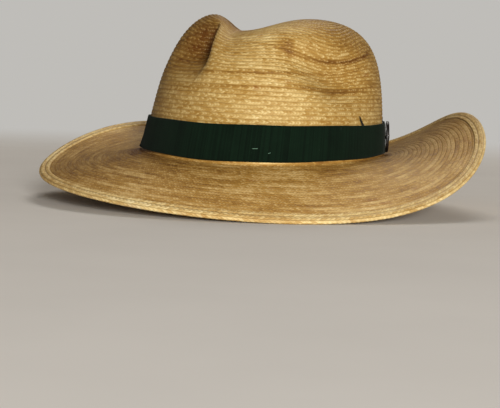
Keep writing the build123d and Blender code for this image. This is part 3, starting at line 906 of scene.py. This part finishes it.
front_tacks, top_tacks = Heap(), Heap()
tack(front_tacks, 1.0, 10.0, 4.0, 3, 0.26)
tack(front_tacks, 7.4, 7.5, 1.8, 20, 0.24)
for azimuth in (-150, -110, -60, 40, 70, 130, 165):
    tack(top_tacks, azimuth, BAND_HIGH - 1.6, 2.2, 84, 0.2)
TACKS = ((front_tacks, "tacks_front", thread_pale), (top_tacks, "tacks_top", thread_dark))
for heap, name, material in TACKS:
    dress(heap.make(name, material), "band_tacks")


# azimuth in degrees, height above the ribbon, lean in degrees, width
QUILLS = ((56.0, 8.0, 42, 2.6), (84.0, 5.0, -6, 1.9))
QUILL_BELOW, QUILL_STEPS = 5.0, 40


def quill_piece():
    """Two feather tips: a shaft with barbs that sweep up from it."""
    heap = Heap()
    step = np.arange(QUILL_STEPS)
    for azimuth, reach, lean, width in QUILLS:
        axes, at = wall_frame(azimuth, BAND_HIGH, 0.25)
        a = radians(lean)
        up, side = np.array([-sin(a), cos(a), 0.0]), np.array([cos(a), sin(a), 0.0])
        s = np.linspace(-1, 1, QUILL_STEPS)
        rise = np.where(s < 0, s * QUILL_BELOW, s * reach)
        spine = np.outer(rise, up) + np.outer(0.35 * np.maximum(s, 0) ** 2, [0, 0, 1.0])
        shaft = np.clip(1 - np.maximum(s, 0) ** 2, 0, 1) * 0.2
        heap.add(tube(at + spine @ axes.T, shaft + 0.01, 8, side_hint=axes[:, 2]), wrap_cols=True)
        for edge_side in (-1, 1):
            across = np.linspace(0, 1, 7)
            half = width / 2 * np.where(s < 0, 1, np.sqrt(np.clip(1 - s, 0, 1)))
            notch = 1 - 0.22 * (step % 5 == 2) - 0.1 * (step % 3 == 1)
            out = np.outer(half * notch, across)
            vane = spine[:, None] + edge_side * out[..., None] * side + (0.35 * out)[..., None] * up
            fall = 0.12 * np.sin(step * 1.9)[:, None] * across[None, :] - 0.08 * across[None, :]
            vane = vane + fall[..., None] * np.array([0, 0, 1.0])
            heap.add(at + vane @ axes.T, flip=edge_side > 0)
    return heap.make("quill_tips_pair", quill)


dress(quill_piece(), "quill_tips")


# ---- sweatband ----
SWEAT_GAP = 1.1  # half the gap between the leather's ends


def sweatband_piece():
    """Leather band, open at the back, slightly rippled and puckered along its stitches."""
    gap = SWEAT_GAP / OVAL_A
    phi = np.linspace(-pi + gap, pi - gap, 900)
    up = np.linspace(SWEAT_LOW, SWEAT_HIGH, 22)
    ripple = 0.22 * np.sin(11 * phi + 0.7) + 0.16 * np.sin(23 * phi) + 0.08 * np.sin(57 * phi + 2)
    high = ((up - SWEAT_LOW) / (SWEAT_HIGH - SWEAT_LOW))[:, None] ** 2
    pucker = 0.1 * np.sin(STITCH_COUNT * phi)[None, :] * bell(up, STITCH_LEVEL, 1.6)[:, None]
    sway = pucker - np.abs(ripple)[None, :] * high
    thin = 0.1 * smooth((up - SWEAT_HIGH + 2) / 2)[:, None]
    level = up[:, None] + 0.35 * ripple[None, :] * high
    outside = wall(phi[None, :], level, SWEAT_OUT + sway)
    inside = wall(phi[None, :], level, SWEAT_IN + thin + sway)
    return slab_object("sweatband_leather", outside, inside, leather)


sweatband = sweatband_piece()
dress(sweatband, "sweatband")


def reed_piece():
    """Round reed along the leather's sewn edge."""
    phi = np.linspace(-pi, pi, 520, endpoint=False)
    a = np.linspace(0, 2 * pi, 12, endpoint=False)[:, None]
    points = wall(phi[None, :], REED_LEVEL + REED_R * np.sin(a), REED_OFF + REED_R * np.cos(a))
    return grid_object("reed_round", points, reed_plastic, wrap_cols=True, wrap_rows=True)


dress(reed_piece(), "sweatband_reed")

NO_STITCH = 10  # degrees either side of the back, where the tape is
seam = Heap()
for i in range(STITCH_COUNT):
    azimuth = 360 * (i + 0.5) / STITCH_COUNT - 180
    if 180 - abs(azimuth) > NO_STITCH:
        axes, at = wall_frame(azimuth, STITCH_LEVEL, SWEAT_IN)
        s = np.linspace(-1, 1, 11)
        local = np.stack([s * STITCH_L / 2, 0.25 * s, -(0.3 * (1 - s**6) - 0.1)], -1)
        thread = tube(at + local @ axes.T, STITCH_R * np.sqrt(1 - s**8), 7, side_hint=axes[:, 2])
        seam.add(thread, wrap_cols=True)
dress(seam.make("sweatband_thread", thread_tan), "sweatband_stitches")


def tape_piece():
    """Ribbed tape over the join of the leather's ends, with a hem along both sides."""
    columns, rows = 49, 60
    phi = pi + np.linspace(-1, 1, columns) * TAPE_W / 2 / OVAL_A
    level = np.linspace(TAPE_LOW, TAPE_HIGH, rows)
    weave_relief = 0.05 * np.cos(pi * np.arange(rows))[:, None] * np.ones(columns)[None, :]
    hem = 0.12 * (np.abs(np.linspace(-1, 1, columns)) > 0.93)[None, :]
    inner = wall(phi[None, :], level[:, None], SWEAT_IN - 0.55 - weave_relief - hem)
    outer = wall(phi[None, :], level[:, None], SWEAT_IN - 0.08)
    run = np.linspace(0, TAPE_W, columns)
    weave = np.stack(np.broadcast_arrays(level[:, None], run[None, :], 0.0), -1)
    return slab_object("tape_ribbed", outer, inner, tape_cloth, {"weave": weave})


tape = tape_piece()
dress(tape, "sweatband_tape")


BOW_OFF, BOW_CLOTH = SWEAT_IN - 1.75, 0.25


def bow_loops_piece():
    """Two loops of narrow ribbon, one on each side."""
    axes, at = wall_frame(180, BOW_LEVEL, BOW_OFF)
    heap = Heap()
    for side in (-1, 1):
        a = np.linspace(0.12, 2 * pi - 0.12, 41)
        x = side * (BOW_LOOP / 2 + 0.3 - BOW_LOOP / 2 * np.cos(a)) + side * 1.0
        lift = 0.62 * np.sin(a)
        width = 2.0 + 1.0 * np.sin(a / 2) ** 2
        across = np.linspace(-1, 1, 9)
        y = width[:, None] * across[None, :] + 0.3 * np.sin(a)[:, None]
        z = -lift[:, None] - 0.12 * across[None, :] ** 2
        loop = np.stack([np.broadcast_to(x[:, None], y.shape), y, z], -1)
        heap.add(at + loop @ axes.T)
    loops = heap.make("bow_loops_ribbon", bow_cloth)
    solid = loops.modifiers.new("thickness", "SOLIDIFY")
    solid.thickness = BOW_CLOTH * MM
    solid.offset = 0
    return loops


def bow_knot_piece():
    """Band round the middle of the bow, a rounded box in section."""
    axes, at = wall_frame(180, BOW_LEVEL, BOW_OFF)
    a = np.linspace(0, 2 * pi, 24, endpoint=False)
    y = np.linspace(-2.0, 2.0, 9)
    swell = 1 - 0.12 * np.cos(y * pi / 2)
    x = 1.55 * np.outer(swell, np.sign(np.cos(a)) * np.abs(np.cos(a)) ** 0.6)
    z = 1.05 * np.outer(swell, np.sign(np.sin(a)) * np.abs(np.sin(a)) ** 0.6)
    ring = np.stack([x, np.broadcast_to(y[:, None], x.shape), z], -1)
    ends = [ring[:1] * [0.2, 1, 0.2], ring, ring[-1:] * [0.2, 1, 0.2]]
    knot = Heap()
    knot.add(at + np.concatenate(ends) @ axes.T, wrap_cols=True)
    return knot.make("bow_knot_ribbon", bow_cloth)


for piece, node in ((bow_loops_piece(), "bow_loops"), (bow_knot_piece(), "bow_knot")):
    dress(piece, node)


def tab_piece():
    """Small woven label with a folded hem, hanging by its top edge. It carries no lettering."""
    phi = np.float64(radians(TAB_PHI))
    _, _, nx, ny = oval(phi)
    at = wall(phi, TAB_LEVEL, SWEAT_IN - 0.9)
    side, out, up = np.array([-ny, nx, 0.0]), np.array([nx, ny, 0.0]), np.array([0, 0, 1.0])
    columns, rows = 61, 45
    x = np.linspace(-TAB_W / 2, TAB_W / 2, columns)
    y = np.linspace(-TAB_H, 0, rows)
    gx, gy = np.meshgrid(x, y)
    hem = 0.06 * ((np.abs(gx) > TAB_W / 2 - TAB_HEM) | (gy < -TAB_H + TAB_HEM))
    ribs = 0.025 * np.cos(pi * np.arange(rows))[:, None] * np.cos(pi * np.arange(columns))[None, :]
    front = -TAB_T / 2 - 0.08 - hem - ribs
    back = np.full_like(front, TAB_T / 2 - 0.12)
    flat = at + gx[..., None] * side + gy[..., None] * up
    return slab_object("size_tab_label", flat + back[..., None] * out, flat + front[..., None] * out, card)


tab = tab_piece()
dress(tab, "size_tab", "size_tab")

# ---- CAD nodes whose shape is already right: they get their real finish ----
FINISHES = {"button_rim": rim_lacquer, "button_dome": dome_metal, "button_post": post_metal,
            "button_washer": post_metal, "brim_wire": wire_metal, "wire_sleeve": sleeve_metal}
for node, material in FINISHES.items():
    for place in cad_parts[node].material_slots:
        place.material = material

# ---- stage, light and camera ----
floor_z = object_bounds()[0].z
HORIZON, ABOVE = (0.46, 0.45, 0.43, 1.0), (0.10, 0.085, 0.07, 1.0)
FLOOR_REACH = 12.0


def floor_material():
    """Pale, faintly speckled floor; far off, its colour gives way to painted light: the floor itself glows
    with the horizon's colour.
    """
    p = Paint("floor_pale")
    at = p.position()
    colour = p.ramp(p.noise(at, 9.0, 4.0), (0.3, linear(227, 225, 222)), (0.7, linear(231, 229, 226)))
    away = p.node("ShaderNodeVectorMath", {0: at}, operation="LENGTH").outputs["Value"]
    far = p.spread(away, 0.7, 2.1)
    # painted light: the far floor glows with the horizon's colour
    p.put(p.shader.inputs["Emission Color"], HORIZON)
    p.put(p.shader.inputs["Emission Strength"], far)
    return p.finish(colour=p.mix(far, colour, (0.0, 0.0, 0.0, 1.0)), rough=0.85, gloss=0.0)


floor_mesh = bpy.data.meshes.new("floor")
corners = [(x * FLOOR_REACH, y * FLOOR_REACH, floor_z) for x, y in ((-1, -1), (1, -1), (1, 1), (-1, 1))]
floor_mesh.from_pydata(corners, [], [(0, 1, 2, 3)])
floor_mesh.materials.append(floor_material())
floor = bpy.data.objects.new("floor", floor_mesh)
scene.collection.objects.link(floor)


def area_light(name, place, target, size, power, colour):
    light = bpy.data.lights.new(name, "AREA")
    light.size = size
    light.energy = power
    light.color = colour
    thing = bpy.data.objects.new(name, light)
    thing.location = place
    thing.rotation_euler = (Vector(target) - Vector(place)).to_track_quat("-Z", "Y").to_euler()
    scene.collection.objects.link(thing)


area_light("key", (0.74, -3.0, 0.5), (0, 0, 0.03), 0.6, 104, (1.0, 0.975, 0.93))
area_light("back", (0.3, 2.2, 2.6), (0, 0, 0.05), 1.4, 30, (1.0, 0.96, 0.9))
# the studio is pale near the horizon and dim above
studio = bpy.data.worlds.new("studio")
studio.use_nodes = True
sky = studio.node_tree
up = sky.nodes.new("ShaderNodeSeparateXYZ")
sky.links.new(sky.nodes.new("ShaderNodeTexCoord").outputs["Generated"], up.inputs[0])
fade = sky.nodes.new("ShaderNodeValToRGB")
fade.color_ramp.elements[0].position = 0.12
fade.color_ramp.elements[0].color = HORIZON
fade.color_ramp.elements[1].position = 0.35
fade.color_ramp.elements[1].color = ABOVE
sky.links.new(up.outputs["Z"], fade.inputs["Fac"])
sky.links.new(fade.outputs["Color"], sky.nodes["Background"].inputs["Color"])
scene.world = studio
scene.view_settings.view_transform = "Standard"
scene.view_settings.look = "Medium High Contrast"

# the camera stands in front of the hat, a little to the wearer's left and a little above it
AZIMUTH, ELEVATION, ROLL = radians(4.47), radians(4.29), radians(1.81)
DISTANCE, LENS = 0.9627, 97.3
target = Vector((-0.00783, 0.0, -0.0352))
back = Vector((sin(AZIMUTH) * cos(ELEVATION), -cos(AZIMUTH) * cos(ELEVATION), sin(ELEVATION)))
right = Vector((0, 0, 1)).cross(back).normalized()
above = back.cross(right)
right, above = right * cos(ROLL) + above * sin(ROLL), above * cos(ROLL) - right * sin(ROLL)
camera = bpy.data.objects.new("camera", bpy.data.cameras.new("camera"))
camera.data.lens = LENS
camera.data.sensor_width = 36
turned = Matrix((right, above, back)).transposed().to_4x4()
camera.matrix_world = Matrix.Translation(target + back * DISTANCE) @ turned
scene.collection.objects.link(camera)
scene.camera = camera
